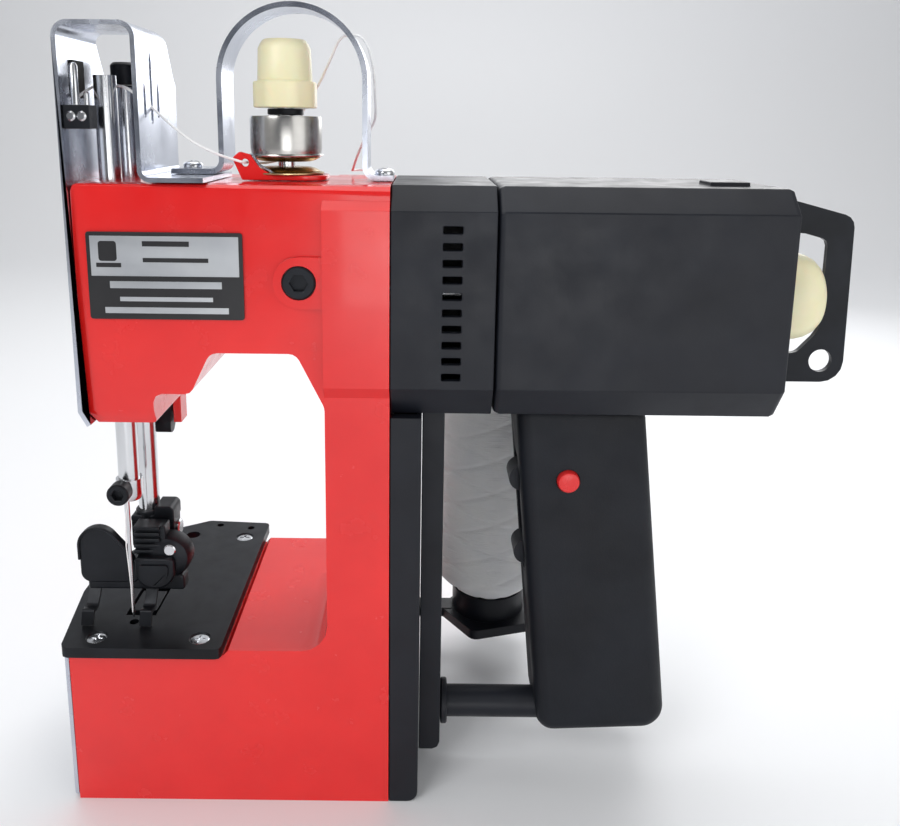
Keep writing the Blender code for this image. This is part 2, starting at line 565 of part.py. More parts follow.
def make_housings(m):
    front = band("motor_front_housing", housing_outline(0), housing_outline(HOUSING_WALL), "x",
                 COLUMN_RIGHT_X + GAP, SEAM_X - GAP, m["black"])
    slots = [(VENT_X, (-66, -58), [z + k * VENT_PITCH for z in VENT_Z]) for k in range(VENTS)]
    cut(boxes("vent_slots", slots), front)
    cut(boxes("belt_pass", [((-21, -12.5), (-53, -30), (150, 158))]), front)
    rear = prism("motor_rear_housing", housing_outline(0), "x", SEAM_X, HOUSING_END_X, m["black"],
                 edge=2.5)
    cut(prism("rear_room", housing_outline(HOUSING_WALL), "x", SEAM_X - CUT, 108), rear)
    cut(cylinder("shaft_hole", "x", MOTOR_AXIS, 7, 100, HOUSING_END_X + CUT), rear)
    add(rear, boxes("plug_union", [((87.1, 100.7), (-45, -32), (230, 233.4))]))
    left, right, top = COLUMN_RIGHT_X + GAP, -11.2, UNDER_HOUSING_Z
    outline = rounded((left, 0), (right, 0, 4), (right, top), (left, top))
    belt = prism("belt_housing", outline, "y", FRONT_Y, 16.5, m["black"])
    cut(boxes("belt_room", [((-24, -12.7), (-56, -27), (18, 155))]), belt)
    left, right, bottom = right + GAP, -2.8, 10.6
    outline = rounded((left, bottom), (right, bottom, 3), (right, top), (left, top))
    cover = prism("belt_cover", outline, "y", *GRIP_Y, m["black"])
    cut(boxes("cover_room", [((-12, -5), (-43, -14), (32, 150))]), cover)
    make_wheel_guard(m)


def make_wheel_guard(m):
    outline = rounded((112.6, 229), (145.6, 220.4, 5), (147.2, 158.1, 8), (112.6, 158.1),
                      (112.6, 168.6), (129, 169.4, 4), (136.8, 178, 8), (136.6, 212, 3),
                      (128, 214.3, 3), (112.6, 215.6))
    plate = prism("wheel_guard_plate", outline, "y", -29.7, -27.3, m["black_steel"])
    cut(cylinder("hang_hole", "y", HANG_HOLE, HANG_HOLE_R, -32, -25), plate)


def make_grip(m):
    outline = rounded((GRIP_TOP_X[0], UNDER_HOUSING_Z), (*GRIP_TOE, 7), (*GRIP_HEEL, 9),
                      (GRIP_TOP_X[1], UNDER_HOUSING_Z))
    grip = prism("grip", outline, "y", *GRIP_Y, m["black"], edge=5.0, segments=3)
    cut(boxes("grip_room", [((42, 63), (-38, -18), (50, 154))]), grip)
    cut(boxes("trigger_room", [((15, 42.5), (-34.4, -22.6), (81, 129))]), grip)
    cut(cylinder("button_bore", "y", BUTTON, BUTTON_R + GAP, -48, -37), grip)
    cut(cylinder("brace_bore", "x", BRACE_YZ, BRACE_R + GAP, 25, 46), grip)
    trigger = prism("trigger", [(28, 127.5), (31.5, 82.5), (38.5, 82.5), (38.5, 127.5)], "y",
                    *TRIGGER_Y, m["black"])
    add(trigger, *[cylinder(f"bump_{i}", "y", c, BUMP_R, *TRIGGER_Y) for i, c in enumerate(BUMPS)])
    origin_at(trigger, 33, -28.5, 105)
    button = turned("lock_button", [(0, -47.6), (3.4, -47.6), (BUTTON_R, -46.8), (BUTTON_R, -40.5),
                                    (0, -40.5)], "y", BUTTON, m["button"])
    origin_at(button, BUTTON[0], -44, BUTTON[1])
    boxes("trigger_switch", [((43, 58), (-34, -22), (92, 112))], m["black"])
    turned("brace_rod", [(0, -2.5), (8.5, -2.5), (8.5, 0), (BRACE_R, 0), (BRACE_R, 44), (0, 44)],
           "x", BRACE_YZ, m["black"])
    turned("cord_gland", [(2.2, -4), (4, -4), (6.5, -8), (6.5, -11.2), (2.2, -11.2)], "y", (62, 32),
           m["rubber"])


# ---------------------------------------------------------------- top of the head

def make_guard(m):
    """The face guard, whose left wall folds in under the nose's slanted corner."""
    left, right = GUARD_X
    fold = NOSE_Z + NOSE_CHAMFER - 0.4
    path = rounded((left + 2.8, NOSE_Z - 0.9), (left, fold), (left, GUARD_TOP_Z, 4.5),
                   (right, GUARD_TOP_Z, 4.5), (right, GUARD_FOOT_Z, 2), (-82.5, GUARD_FOOT_Z),
                   closed=False)
    guard = prism("needle_guard", strip(path, GUARD_T), "y", *GUARD_Y, m["steel"])
    slots = [((right - 5, right + 5), (y - SLOT_W / 2, y + SLOT_W / 2), zs)
             for y, zs in zip(SLOT_Y, SLOT_Z)]
    cut(boxes("guard_slots", slots), guard)
    boxes("thread_guide_block", [((-126.5, -118.2), (-61.5, -54.5), (249, 256.5))], m["black_steel"])
    return guard


def make_arch(m, casting, guard):
    left, right = ARCH_LEGS_X
    radius = (right - left) / 2 - 0.01
    z0, z1 = ARCH_FEET_Z
    path = rounded((-98.5, z0), (left, z0, 1.5), (left, ARCH_TOP_Z, radius),
                   (right, ARCH_TOP_Z, radius), (right, z1, 1.5), (-22, z1), closed=False)
    ys = (TOP_Y - ARCH_W / 2, TOP_Y + ARCH_W / 2)
    arch = prism("lift_arch", strip(path, ARCH_T), "y", *ys, m["steel"])
    for i, (x, top) in enumerate(zip(ARCH_SCREWS_X, ARCH_FEET_Z)):
        tool = cylinder(f"arch_bore_{i}", "z", (x, TOP_Y), 2.3, 227.5, 240, sides=SMALL)
        cut(tool, arch, guard, casting)
        screw(f"arch_screw_{'left' if i == 0 else 'right'}", "z", (x, TOP_Y), top + GAP, top + 2.8,
              3.4, 228.5, 2.0, m["steel"])
    cut(cylinder("arch_thread_hole", "x", (TOP_Y, 281.5), 2.0, -45, -28, sides=TINY), arch)


def make_tension(m):
    centre = (TENSION_X, TOP_Y)
    front = TONGUE_Y[0]
    seat = rounded((-73.5, front, 1), (-45, front, 8), (-45, TOP_Y + 9.5, 8), (-70, TOP_Y + 9.5, 6))
    bracket = prism("tension_bracket", seat, "z", 232.3, 234, m["red"])
    tab = rounded((-73.5, 232.8), (-63, 232.8), (-66, 234.2, 2), (-70.3, 240.8, 1), (-74, 241.6, 1.5),
                  (-76.4, 239.8, 1))
    add(bracket, prism("tab_union", tab, "y", *TONGUE_Y))
    cut(cylinder("stud_hole", "z", centre, 3.3, 230, 236, sides=SMALL), bracket)
    cut(cylinder("eyelet", "y", EYELET, 1.5, -48, -40, sides=TINY), bracket)
    turned("tension_discs", [(3.3, 234.3), (9, 234.3), (11, 235), (9, 236.2), (9, 236.8), (11, 238),
                             (9, 238.7), (3.3, 238.7)], "z", centre, m["brass"])
    turned("tension_cup", [(3.3, 239), (11, 239), (12.5, 241), (12.5, 254), (3.3, 254)], "z", centre,
           m["steel"], sides=32)
    turned("tension_stud", [(0, 232.3), (3, 232.3), (3, 254.3), (5.5, 254.3), (5.5, 256.5), (3, 256.5),
                            (3, 270), (0, 270)], "z", centre, m["steel"], sides=SMALL)
    knob = turned("tension_knob", [(0, 270.4), (3.3, 270.4), (3.3, 256.8), (11.2, 256.8), (11.2, 265.6),
                                   (9.6, 266), (9.1, 278.5), (8, 279.7), (0, 279.7)], "z", centre,
                  m["cream"], sides=32)
    origin_at(knob, TENSION_X, TOP_Y, 257)


# ---------------------------------------------------------------- spool and thread

def make_spool(m):
    x, y = SPOOL_AXIS
    lo, hi = SPOOL_Z
    r = SPOOL_R
    profile = [(7, lo), (16, lo), (r - 4, lo + 4), (r, lo + 14), (r, hi - 3), (r - 3, hi), (7, hi)]
    spool = turned("thread_spool", profile, "z", SPOOL_AXIS, m["thread"], sides=40)
    origin_at(spool, x, y, lo)
    peg = turned("spool_holder", [(0, 24), (17, 24), (17, 36), (6.5, 36), (6.5, 150), (0, 150)], "z",
                 SPOOL_AXIS, m["black"])
    tray = rounded((-2, 34, 4), (13, 12, 4), (41, 20, 4), (44, 46, 4), (20, 60, 6))
    plate = prism("tray_union", tray, "z", 20.6, 25)
    stub = boxes("stub_union", [((-21, -13), (16.8, 40), (21, 33))])
    arm = boxes("arm_union", [((-20, 4), (31, 40), (20.8, 25.3))])
    add(peg, plate, stub, arm)


def make_thread(m):
    """The thread from the spool over the arch, past the tension discs to the guide block."""
    route = [(21.5, 30, 157), (12, 22, 190), (-12, 14, 221), (-33, 8, 232.6), (-39, 1, 233.8),
             (-38.3, -12, 235), (-36, -19, 240.4), (-33.2, -22.4, 246.3), (-30.6, -22.8, 250.5),
             (-29, -25.5, 254.5), (-28.9, -30, 262), (-29.2, -32.4, 269), (-30.9, -33.4, 277),
             (-33.6, -33.5, 280.9), (-37.3, -33.5, 281.5), (-41, -32.6, 280), (-45, -27.6, 273.3),
             (-49.5, -21.5, 266), (-56, -18.6, 256), (-60, -19.2, 246), (-63, -20.2, 239.4),
             (-69, -23.8, 237.4), (-73.6, -30, 237.7), (-73.8, -36.5, 238), (-72.6, -41, 238.2),
             (-72.4, -44.2, 238.2), (-73.4, -46.8, 238.6), (-81, -47.2, 241), (-88.9, -47.6, 244.8),
             (-95.5, -48.2, 250), (-102.8, -48.5, 256.8), (-108, -47.6, 260.6),
             (-112.4, -43.4, 262.8), (-118, -40.9, 263.6), (-122.6, -43, 263.1),
             (-124.7, -50, 260.2), (-123.9, -56.9, 257.7)]
    points = [Vector(p) * MM for p in route]
    curve = bpy.data.curves.new("thread_run", "CURVE")
    curve.dimensions = "3D"
    curve.bevel_depth = THREAD_R * MM
    curve.bevel_resolution = 2
    curve.use_fill_caps = True
    line = curve.splines.new("POLY")
    smooth = spline(points, 4)
    line.points.add(len(smooth) - 1)
    for slot, place in zip(line.points, smooth):
        slot.co = (*place, 1.0)
    curve.materials.append(m["thread"])
    obj = bpy.data.objects.new("thread_run", curve)
    bpy.context.collection.objects.link(obj)


def spline(points, steps):
    """Points read from a smooth curve through the given ones."""
    ends = [points[0] * 2 - points[1]] + points + [points[-1] * 2 - points[-2]]
    line = []
    for i in range(1, len(ends) - 2):
        p0, p1, p2, p3 = ends[i - 1:i + 3]
        for k in range(steps):
            t = k / steps
            line.append(0.5 * (2 * p1 + (p2 - p0) * t + (2 * p0 - 5 * p1 + 4 * p2 - p3) * t * t
                               + (3 * p1 - p0 - 3 * p2 + p3) * t ** 3))
    return line + [points[-1]]


def main():
    clear_scene()
    m = {
        "red": material("red_paint", (0.80, 0.02, 0.015), 0.25),
        "black": material("black_plastic", (0.02, 0.022, 0.026), 0.45),
        "black_steel": material("black_steel", (0.03, 0.03, 0.033), 0.4, 0.6),
        "steel": material("bright_steel", (0.62, 0.62, 0.63), 0.25, 1.0),
        "aluminium": material("aluminium", (0.7, 0.7, 0.72), 0.35, 1.0),
        "brass": material("bronze", (0.55, 0.38, 0.16), 0.35, 1.0),
        "copper": material("copper_winding", (0.6, 0.28, 0.12), 0.4, 1.0),
        "cream": material("cream_nylon", (0.85, 0.80, 0.58), 0.4),
        "thread": material("white_thread", (0.88, 0.88, 0.86), 0.9),
        "rubber": material("black_rubber", (0.02, 0.02, 0.02), 0.8),
        "plate": material("name_plate", (0.55, 0.56, 0.56), 0.35, 0.8),
        "button": material("red_plastic", (0.75, 0.02, 0.02), 0.35),
    }
    casting = make_casting(m)
    make_covers(m, casting)
    make_plate(m, casting)
    make_needle_bar(m)
    make_rod(m)
    make_presser(m)
    make_foot(m)
    make_feed(m)
    make_drive(m)
    make_motor(m)
    make_housings(m)
    make_grip(m)
    guard = make_guard(m)
    make_arch(m, casting, guard)
    make_tension(m)
    make_spool(m)
    make_thread(m)


main()
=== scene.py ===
"""Looks of the bag closer sewing machine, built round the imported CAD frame. Lengths in the
helpers are millimetres in the frame's own axes; MM turns them into metres."""
import math

import bmesh
import bpy
from mathutils import Matrix, Vector


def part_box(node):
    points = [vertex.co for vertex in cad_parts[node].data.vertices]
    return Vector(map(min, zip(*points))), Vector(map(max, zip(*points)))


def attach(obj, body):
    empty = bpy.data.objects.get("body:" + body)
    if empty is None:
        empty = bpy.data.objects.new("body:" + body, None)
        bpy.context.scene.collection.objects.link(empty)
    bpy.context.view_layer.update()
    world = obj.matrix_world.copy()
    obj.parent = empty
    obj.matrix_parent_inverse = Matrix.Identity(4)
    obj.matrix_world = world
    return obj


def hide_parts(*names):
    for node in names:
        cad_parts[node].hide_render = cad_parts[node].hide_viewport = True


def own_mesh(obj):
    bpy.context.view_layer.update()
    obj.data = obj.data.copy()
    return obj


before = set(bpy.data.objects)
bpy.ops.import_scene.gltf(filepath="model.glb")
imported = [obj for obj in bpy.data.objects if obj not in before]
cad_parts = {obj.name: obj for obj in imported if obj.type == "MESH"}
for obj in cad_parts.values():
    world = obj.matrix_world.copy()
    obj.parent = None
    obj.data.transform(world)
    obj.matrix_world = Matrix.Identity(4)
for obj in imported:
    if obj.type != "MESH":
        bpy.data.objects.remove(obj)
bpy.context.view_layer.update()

MM = 0.001
FRAME_BODY = "frame"

# Places in millimetres that no node's box gives
GUARD_RIGHT_X, GUARD_FOOT_Z = -102.1, 233.8
ARCH_LEGS_X, ARCH_FEET_Z = (-81.9, -30.7), (235.9, 234.1)
THREAD_EYE = (-33.5, 281.5)                            # y, z of the hole in the arch
TENSION, EYELET = (-60.0, -33.5), (-72.4, 238.2)       # x, y and x, z
GRIP_Y, GRIP_TOP_X, GRIP_TOP_Z = (-45.5, -11.5), (23.0, 70.5), 152.7
GRIP_TOE, GRIP_HEEL, TRIGGER_POCKET_Y = (35.7, 17.2), (86.3, 19.6), (-34.4, -22.6)
BUTTON, BUTTON_R = (43.0, 123.8), 4.15                 # x, z


# ---------------------------------------------------------------- materials

def shader_of(name, color, roughness, metallic=0.0):
    """A Principled material, with its tree's nodes and links ready to extend."""
    mat = bpy.data.materials.new(name)
    mat.use_nodes = True
    tree = mat.node_tree
    shader = tree.nodes["Principled BSDF"]
    shader.inputs["Base Color"].default_value = (*color, 1)
    shader.inputs["Roughness"].default_value = roughness
    shader.inputs["Metallic"].default_value = metallic
    return mat, tree, shader


def coordinates(tree, scale=(1, 1, 1)):
    where = tree.nodes.new("ShaderNodeTexCoord")
    mapping = tree.nodes.new("ShaderNodeMapping")
    mapping.inputs["Scale"].default_value = scale
    tree.links.new(where.outputs["Object"], mapping.inputs["Vector"])
    return mapping.outputs["Vector"]


def noise(tree, vector, scale, detail=3.0, roughness=0.55):
    node = tree.nodes.new("ShaderNodeTexNoise")
    node.inputs["Scale"].default_value = scale
    node.inputs["Detail"].default_value = detail
    node.inputs["Roughness"].default_value = roughness
    tree.links.new(vector, node.inputs["Vector"])
    return node.outputs["Fac"]


def ramp(tree, value, low, high, start=0.3, stop=0.7):
    """Map a texture value onto a range of greys or colours."""
    node = tree.nodes.new("ShaderNodeValToRGB")
    for stop_at, color, element in ((start, low, 0), (stop, high, 1)):
        tone = color if hasattr(color, "__len__") else (color,) * 3
        node.color_ramp.elements[element].position = stop_at
        node.color_ramp.elements[element].color = (*tone, 1)
    tree.links.new(value, node.inputs["Fac"])
    return node.outputs["Color"]


def bump(tree, shader, height, strength, distance_mm, under=None):
    node = tree.nodes.new("ShaderNodeBump")
    node.inputs["Strength"].default_value = strength
    node.inputs["Distance"].default_value = distance_mm * MM
    tree.links.new(height, node.inputs["Height"])
    if under:
        tree.links.new(under, node.inputs["Normal"])
    tree.links.new(node.outputs["Normal"], shader.inputs["Normal"])
    return node.outputs["Normal"]


def worn(name, color, deep, rough, metallic=0.0, grain=900, grain_mm=0.03, mottle=40,
         strength=0.3, stretch=(1, 1, 1)):
    """The common build: mottled colour, uneven roughness and a fine grain."""
    mat, tree, shader = shader_of(name, color, rough[0], metallic)
    plain = coordinates(tree)
    fine = coordinates(tree, stretch)
    patches = noise(tree, plain, mottle, 4)
    tree.links.new(ramp(tree, patches, deep, color), shader.inputs["Base Color"])
    tree.links.new(ramp(tree, noise(tree, fine, mottle * 3, 5), *rough), shader.inputs["Roughness"])
    bump(tree, shader, noise(tree, fine, grain, 2), strength, grain_mm)
    return mat, shader


def make_materials():
    m = {}
    m["red"], paint = worn("red_gloss_paint", (0.80, 0.016, 0.014), (0.70, 0.010, 0.010),
                           (0.16, 0.30), grain=260, grain_mm=0.05, mottle=22, strength=0.12)
    paint.inputs["Coat Weight"].default_value = 0.3
    paint.inputs["Coat Roughness"].default_value = 0.06
    m["black"], plastic = worn("black_moulded_plastic", (0.010, 0.012, 0.018), (0.006, 0.007, 0.011),
                         (0.36, 0.52), grain=1500, grain_mm=0.05, mottle=30, strength=0.35)
    plastic.inputs["Specular IOR Level"].default_value = 0.3
    m["grip"], plastic = worn("black_textured_plastic", (0.009, 0.011, 0.016), (0.006, 0.007, 0.010),
                        (0.46, 0.62), grain=1100, grain_mm=0.09, mottle=26, strength=0.55)
    plastic.inputs["Specular IOR Level"].default_value = 0.26
    m["oxide"], oxide = worn("black_oxide_steel", (0.014, 0.016, 0.021), (0.007, 0.008, 0.010),
                         (0.30, 0.46), 0.45, grain=700, grain_mm=0.02, mottle=55)
    oxide.inputs["Specular IOR Level"].default_value = 0.35
    m["steel"], _ = worn("polished_steel", (0.72, 0.73, 0.75), (0.58, 0.59, 0.61), (0.12, 0.26),
                         1.0, grain=260, grain_mm=0.015, mottle=30, strength=0.2,
                         stretch=(1, 1, 0.05))
    m["sheet"], _ = worn("bright_sheet_steel", (0.66, 0.69, 0.76), (0.46, 0.49, 0.57), (0.16, 0.32),
                         1.0, grain=120, grain_mm=0.04, mottle=28, strength=0.25)
    m["turned"], _ = worn("turned_steel", (0.56, 0.55, 0.53), (0.42, 0.41, 0.39), (0.16, 0.32), 1.0,
                          grain=420, grain_mm=0.02, mottle=40, stretch=(0.05, 0.05, 1))
    m["bronze"], _ = worn("bronze", (0.60, 0.47, 0.26), (0.42, 0.31, 0.16), (0.2, 0.38), 1.0,
                          grain=420, grain_mm=0.02, mottle=60)
    m["cast"], _ = worn("machined_aluminium", (0.66, 0.67, 0.69), (0.52, 0.53, 0.55), (0.3, 0.45),
                        1.0, grain=500, grain_mm=0.03)
    m["copper"], _ = worn("copper_windings", (0.62, 0.27, 0.11), (0.40, 0.16, 0.07), (0.3, 0.5), 1.0,
                          grain=800, grain_mm=0.1, stretch=(0.1, 1, 1))
    m["cream"], nylon = worn("cream_nylon", (0.90, 0.86, 0.60), (0.84, 0.78, 0.50), (0.3, 0.44),
                             grain=320, grain_mm=0.04, mottle=45, strength=0.2)
    nylon.inputs["Subsurface Weight"].default_value = 0.25
    nylon.inputs["Subsurface Scale"].default_value = 2.0 * MM
    m["rubber"], _ = worn("black_rubber", (0.02, 0.02, 0.021), (0.012, 0.012, 0.013), (0.7, 0.86),
                          grain=900, grain_mm=0.06)
    m["button"], _ = worn("red_button_plastic", (0.80, 0.03, 0.03), (0.66, 0.02, 0.02), (0.2, 0.34),
                          grain=700, grain_mm=0.03)
    m["silver"], _ = worn("silver_plate", (0.62, 0.64, 0.66), (0.50, 0.52, 0.55), (0.28, 0.42), 0.9,
                          grain=600, grain_mm=0.01, stretch=(0.04, 1, 1))
    m["ink"], _ = worn("black_print", (0.016, 0.016, 0.018), (0.010, 0.010, 0.012), (0.3, 0.42),
                       grain=700, grain_mm=0.01)
    m["thread"] = thread_material()
    return m


def thread_material():
    """Matt spun polyester: fine strands across a slightly uneven white."""
    mat, tree, shader = shader_of("spun_white_thread", (0.86, 0.86, 0.85), 0.85)
    where = coordinates(tree, (1, 1, 1))
    tree.links.new(ramp(tree, noise(tree, where, 60, 4), (0.88, 0.89, 0.91), (0.97, 0.97, 0.96)),
                   shader.inputs["Base Color"])
    strands = tree.nodes.new("ShaderNodeTexWave")
    strands.bands_direction = "Z"
    strands.inputs["Scale"].default_value = 330
    strands.inputs["Distortion"].default_value = 2.5
    strands.inputs["Detail"].default_value = 2
    tree.links.new(where, strands.inputs["Vector"])
    bump(tree, shader, strands.outputs["Fac"], 0.5, 0.2)
    shader.inputs["Sheen Weight"].default_value = 0.35
    return mat


# ---------------------------------------------------------------- mesh helpers

def place(axis, a, b, h):
    return Vector({"x": (h, a, b), "y": (a, h, b), "z": (a, b, h)}[axis]) * MM


def piece(name, bm, mat, body, replaces=(), sharp=32):
    """Finish a bmesh as a piece that rides on a body, its rounds shaded smooth."""
    bmesh.ops.recalc_face_normals(bm, faces=bm.faces)
    mesh = bpy.data.meshes.new(name)
    bm.to_mesh(mesh)
    bm.free()
    mesh.shade_smooth()
    mesh.set_sharp_from_angle(angle=math.radians(sharp))
    mesh.materials.append(mat)
    obj = bpy.data.objects.new(name, mesh)
    bpy.context.collection.objects.link(obj)
    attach(obj, body)
    if replaces:
        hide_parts(*replaces)
    return obj


def ease(obj, width, segments=3, angle=30):
    """Small rounded edges on a hard-surface piece."""
    bevel = obj.modifiers.new("edges", "BEVEL")
    bevel.width = width * MM
    bevel.segments = segments
    bevel.limit_method = "ANGLE"
    bevel.angle_limit = math.radians(angle)
    bevel.miter_outer = "MITER_ARC"
    normals = obj.modifiers.new("normals", "WEIGHTED_NORMAL")
    normals.keep_sharp = False
    return obj


def arcs(*corners, closed=True, step=9.0):
    """A 2-D outline: each corner (a, b[, radius]) with a radius becomes a fine arc."""
    count = len(corners)
    points = []
    for i, corner in enumerate(corners):
        here = Vector(corner[:2])
        radius = corner[2] if len(corner) > 2 else 0
        if not radius or (not closed and i in (0, count - 1)):
            points.append(here)
            continue
        back = (Vector(corners[i - 1][:2]) - here).normalized()
        ahead = (Vector(corners[(i + 1) % count][:2]) - here).normalized()
        half = back.angle(ahead) / 2
        reach = radius / math.tan(half)
        centre = here + (back + ahead).normalized() * radius / math.sin(half)
        start = here + back * reach - centre
        sweep = (here + ahead * reach - centre).angle_signed(start)
        steps = max(2, round(abs(math.degrees(sweep)) / step))
        points += [centre + Matrix.Rotation(sweep * k / steps, 2) @ start for k in range(steps + 1)]
    return [tuple(p) for p in points]


def circle(a, b, radius, sides=24):
    turns = [2 * math.pi * k / sides for k in range(sides)]
    return [(a + radius * math.cos(t), b + radius * math.sin(t)) for t in turns]


def box_middle(node, axes):
    """The middle of a node's box across two axes, in millimetres."""
    lo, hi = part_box(node)
    return tuple((getattr(lo, axis) + getattr(hi, axis)) / 2 / MM for axis in axes)


def ribbon(path, thickness):
    """Sheet metal's outline along an open path, on its right side."""
    points = [Vector(p) for p in path]
    inner = []
    for i, here in enumerate(points):
        before = (here - points[i - 1]).normalized() if i else None
        after = (points[i + 1] - here).normalized() if i + 1 < len(points) else None
        along = ((before or after) + (after or before)).normalized()
        inner.append(here + Vector((along.y, -along.x)) * thickness / along.dot(before or after))
    return [tuple(p) for p in points + inner[::-1]]


def block(bm, outline, axis, lo, hi):
    """Add an extruded outline to a bmesh."""
    base = [bm.verts.new(place(axis, a, b, lo)) for a, b in outline]
    cap = bm.faces.new(base)
    grown = bmesh.ops.extrude_face_region(bm, geom=[cap])
    moved = [v for v in grown["geom"] if isinstance(v, bmesh.types.BMVert)]
    bmesh.ops.translate(bm, verts=moved, vec=place(axis, 0, 0, hi - lo))


def turn(bm, profile, axis, centre, sides=64, wave=None):
    """Add a turned shape to a bmesh; wave(angle, radius, height) may change the radius."""
    rings = []
    for radius, height in profile:
        if radius == 0:
            rings.append([bm.verts.new(place(axis, *centre, height))])
            continue
        line = []
        for k in range(sides):
            t = 2 * math.pi * k / sides
            r = wave(t, radius, height) if wave else radius
            line.append(bm.verts.new(place(axis, centre[0] + r * math.cos(t),
                                           centre[1] + r * math.sin(t), height)))
        rings.append(line)
    pairs = list(zip(rings, rings[1:]))
    if profile[0][0] and profile[-1][0]:
        pairs.append((rings[-1], rings[0]))
    for first, second in pairs:
        for k in range(sides):
            n = (k + 1) % sides
            if len(first) == 1:
                bm.faces.new((first[0], second[n], second[k]))
            elif len(second) == 1:
                bm.faces.new((first[k], first[n], second[0]))
            else:
                bm.faces.new((first[k], first[n], second[n], second[k]))


def lathe(name, profile, axis, centre, mat, body, replaces=(), sides=64, wave=None, sharp=32):
    bm = bmesh.new()
    turn(bm, profile, axis, centre, sides, wave)
    return piece(name, bm, mat, body, replaces, sharp)


def extruded(name, outline, axis, lo, hi, mat, body, replaces=(), edge=0.3, segments=3):
    bm = bmesh.new()
    block(bm, outline, axis, lo, hi)
    obj = piece(name, bm, mat, body, replaces)
    return ease(obj, edge, segments) if edge else obj


def pointed_slot(a, b0, b1, width):
    """A slot's outline with a round foot and a pointed top, centred on a."""
    r = width / 2
    return arcs((a - r, b0, r * 0.98), (a + r, b0, r * 0.98), (a + r, b1 - width * 1.6), (a, b1),
                (a - r, b1 - width * 1.6), step=22)


def hollow(obj, outline, axis, lo, hi, name, solver="EXACT"):
    """Cut an outline through a piece with a boolean; the cutter stays in the scene until settle drops
    it.
    """
    bm = bmesh.new()
    block(bm, outline, axis, lo, hi)
    bmesh.ops.recalc_face_normals(bm, faces=bm.faces)
    mesh = bpy.data.meshes.new(name)
    bm.to_mesh(mesh)
    bm.free()
    tool = bpy.data.objects.new(name, mesh)
    bpy.context.collection.objects.link(tool)
    cut = obj.modifiers.new(name, "BOOLEAN")
    cut.operation = "DIFFERENCE"
    cut.solver = solver
    cut.object = tool
    return tool


def settle(obj, *tools):
    """Apply a piece's modifiers, then drop the cutters they used."""
    bpy.context.view_layer.update()
    graph = bpy.context.evaluated_depsgraph_get()
    done = bpy.data.meshes.new_from_object(obj.evaluated_get(graph))
    obj.modifiers.clear()
    obj.data = done
    for tool in tools:
        bpy.data.objects.remove(tool)
    return obj


# ---------------------------------------------------------------- CAD nodes that stay

def finish_cad(m):
    """Each CAD node that stays gets its material and, by its width, rounded edges."""
    looks = {
        "red": (0.8, "body_casting head_rear_cover"),
        "black": (0.4, "motor_front_housing motor_rear_housing belt_housing belt_cover trigger "
                       "trigger_switch spool_holder"),
        "oxide": (0.25, "throat_plate wheel_guard_plate presser_lifter thread_guide_block "
                        "needle_bar_block presser_cap feed_dog"),
        "sheet": (0.15, "base_left_cover base_bottom_cover"),
        "steel": (0.1, "needle connecting_rod looper upper_shaft "
                       "lower_shaft motor_rotor needle_bar tension_stud"),
        "cast": (0.15, "upper_pulley front_bearing_carrier rear_bearing_carrier"),
        "bronze": (0.1, "needle_bar_bush upper_front_bush upper_rear_bush"),
        "copper": (0.1, "motor_stator"),
        "rubber": (0.1, "drive_belt timing_belt cord_gland"),
        "thread": (0.0, "thread_run"),
    }
    for key, (width, names) in looks.items():
        for name in names.split():
            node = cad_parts[name]
            for held in node.material_slots:
                held.material = m[key]
            weld = node.modifiers.new("weld", "WELD")
            weld.merge_threshold = 0.00001
            if width and name != "motor_front_housing":      # its slots break a dissolved face
                flat = node.modifiers.new("flat", "DECIMATE")
                flat.decimate_type = "DISSOLVE"
                flat.angle_limit = math.radians(1)
            if width:
                ease(node, width, 3, 32)


# ---------------------------------------------------------------- head and bed pieces

def hex_screw(name, axis, centre, face, depth, radius, mat, body, replaces, inward):
    """A socket head screw: chamfer and a hexagonal recess. Inward is 1 or -1 along the axis."""
    key = radius * 0.48

    def at(depth_in):
        return face + inward * depth_in

    def hexed(t, r, h):
        return r if r > key * 1.2 else r / math.cos((t % (math.pi / 3)) - math.pi / 6)

    profile = [(0, at(2.2)), (key, at(2.2)), (key, at(0.2)), (key * 1.12, at(0)),
               (radius * 0.9, at(0)), (radius, at(0.5)), (radius, at(depth)), (0, at(depth))]
    bm = bmesh.new()
    turn(bm, profile, axis, centre, 72, hexed)
    return piece(name, bm, mat, body, replaces)


def cross_screw(name, axis, centre, top, radius, dome, mat, replaces):
    """A small screw head with a cross recess."""
    steps = 6
    profile = [(0, top - 1.2), (radius, top - 1.2)]
    rise = [(radius * math.cos(a), top - 0.5 + dome * math.sin(a))
            for a in (math.pi / 2 * k / steps for k in range(steps))]
    bm = bmesh.new()
    turn(bm, profile + rise + [(0, top - 0.5 + dome)], axis, centre, 48)
    obj = piece(name, bm, mat, FRAME_BODY, replaces)
    half, reach = radius * 0.14, radius * 0.62
    bars = ((half, reach), (reach, half))
    tools = []
    for i, (w, d) in enumerate(bars):
        a, b = centre
        ring = [(a - w, b - d), (a + w, b - d), (a + w, b + d), (a - w, b + d)]
        tools.append(hollow(obj, ring, axis, top - 0.75, top + 2, f"{name}_key_{i}"))
    return settle(obj, *tools)


